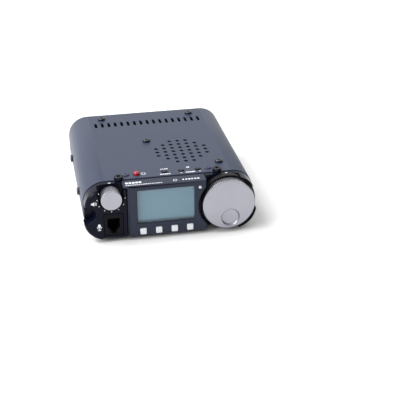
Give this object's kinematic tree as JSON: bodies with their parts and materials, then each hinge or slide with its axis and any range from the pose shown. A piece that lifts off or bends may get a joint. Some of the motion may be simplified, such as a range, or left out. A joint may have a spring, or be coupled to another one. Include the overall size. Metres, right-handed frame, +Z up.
{
  "type": "mobile transceiver",
  "caption": "Compact mobile radio transceiver: flat round-cornered metal case, front display pod, large tuning knob, volume knob, keys, top speaker grille, rear sockets.",
  "frame": {"origin": "under the middle of the whole object's box, at the bottom of the rubber feet", "axes": "+X to the right as seen from the front, +Y from the front panel to the rear, +Z up"},
  "size_m": [0.1236, 0.1416, 0.0444],
  "materials": {
    "case_paint": "satin fine-texture grey-blue powder paint",
    "panel_plastic": "fine-grained dark navy moulded plastic",
    "black_plastic": "matt black moulded plastic",
    "key_black": "satin black key cap",
    "rubber": "matt black rubber",
    "knob_aluminium": "turned and bead-blasted silver, knurled rim",
    "heatsink_aluminium": "cast and milled, bare",
    "steel": "plain plated steel",
    "nickel": "bright nickel plate",
    "brass": "plain brass",
    "window_glass": "clear polished window",
    "lcd": "blank blue-grey liquid crystal panel",
    "key_white": "smooth translucent white",
    "power_red": "smooth red",
    "screw_black": "blackened steel",
    "circuit_board": "green solder resist",
    "fluoropolymer": "smooth white",
    "cone_paper": "pressed black paper",
    "magnet": "ferrite and plated steel"
  },
  "bodies": {
    "case": {"accessory_socket": "nickel", "antenna_insulator": "fluoropolymer", "antenna_socket": "nickel", "bottom_cover": "case_paint", "cover_screw_front": "screw_black", "cover_screw_middle": "screw_black", "cover_screw_rear_left": "screw_black", "cover_screw_rear_right": "screw_black", "display_bezel": "panel_plastic", "display_window": "window_glass", "edge_bolt_left": "screw_black", "edge_bolt_right": "screw_black", "foot_front_left": "rubber", "foot_front_right": "rubber", "foot_rear_left": "rubber", "foot_rear_right": "rubber", "front_gasket": "rubber", "front_panel": "panel_plastic", "function_keypad": "circuit_board", "ground_stud": "brass", "heat_spreader": "heatsink_aluminium", "key_board": "circuit_board", "key_board_screw_left": "case_paint", "key_board_screw_right": "case_paint", "key_jack": "black_plastic", "lcd_module": "lcd", "main_board": "circuit_board", "mic_contacts": "brass", "microphone_jack": "black_plastic", "power_jack": "black_plastic", "rear_panel": "case_paint", "rear_screw_lower_left": "screw_black", "rear_screw_lower_right": "screw_black", "rear_screw_upper_left": "screw_black", "rear_screw_upper_right": "screw_black", "side_screw_front_left": "screw_black", "side_screw_front_right": "screw_black", "side_screw_rear_left": "screw_black", "side_screw_rear_right": "screw_black", "speaker_cone": "cone_paper", "speaker_frame": "steel", "speaker_magnet": "magnet", "status_light": "key_white", "top_cover": "case_paint", "tuning_collar": "black_plastic", "tuning_encoder": "nickel", "volume_control": "nickel"},
    "tuning_dial": {"tuning_knob": "knob_aluminium", "tuning_shaft": "steel"},
    "volume_dial": {"volume_knob": "knob_aluminium", "volume_shaft": "steel"},
    "function_key_1": {"function_key_1": "key_white"},
    "function_key_2": {"function_key_2": "key_white"},
    "function_key_3": {"function_key_3": "key_white"},
    "function_key_4": {"function_key_4": "key_white"},
    "power_button": {"power_button": "power_red"},
    "mode_key": {"mode_key": "key_black"},
    "band_down_key": {"band_down_key": "key_black"},
    "band_up_key": {"band_up_key": "key_black"},
    "ground_nut": {"ground_nut": "nickel"}
  },
  "joints": [
    {"name": "tuning_turn", "type": "hinge", "parent": "case", "child": "tuning_dial", "pos_m": [0.0404, -0.0572, 0.022], "axis": [0, 1, 0], "continuous": true},
    {"name": "volume_turn", "type": "hinge", "parent": "case", "child": "volume_dial", "pos_m": [-0.0413, -0.0572, 0.0332], "axis": [0, 1, 0], "range_deg": [-150, 150]},
    {"name": "ground_nut_turn", "type": "hinge", "parent": "case", "child": "ground_nut", "pos_m": [0.022, 0.0618, 0.022], "axis": [0, -1, 0], "continuous": true},
    {"name": "function_key_1_press", "type": "slide", "parent": "case", "child": "function_key_1", "axis": [0, 1, 0], "range_m": [0, 0.0006], "stiffness_N_per_m": 400},
    {"name": "function_key_2_press", "type": "slide", "parent": "case", "child": "function_key_2", "axis": [0, 1, 0], "range_m": [0, 0.0006], "stiffness_N_per_m": 400},
    {"name": "function_key_3_press", "type": "slide", "parent": "case", "child": "function_key_3", "axis": [0, 1, 0], "range_m": [0, 0.0006], "stiffness_N_per_m": 400},
    {"name": "function_key_4_press", "type": "slide", "parent": "case", "child": "function_key_4", "axis": [0, 1, 0], "range_m": [0, 0.0006], "stiffness_N_per_m": 400},
    {"name": "power_press", "type": "slide", "parent": "case", "child": "power_button", "axis": [0, 0, -1], "range_m": [0, 0.001], "stiffness_N_per_m": 400},
    {"name": "mode_key_press", "type": "slide", "parent": "case", "child": "mode_key", "axis": [0, 0, -1], "range_m": [0, 0.0005], "stiffness_N_per_m": 400},
    {"name": "band_down_key_press", "type": "slide", "parent": "case", "child": "band_down_key", "axis": [0, 0, -1], "range_m": [0, 0.0005], "stiffness_N_per_m": 400},
    {"name": "band_up_key_press", "type": "slide", "parent": "case", "child": "band_up_key", "axis": [0, 0, -1], "range_m": [0, 0.0005], "stiffness_N_per_m": 400}
  ]
}
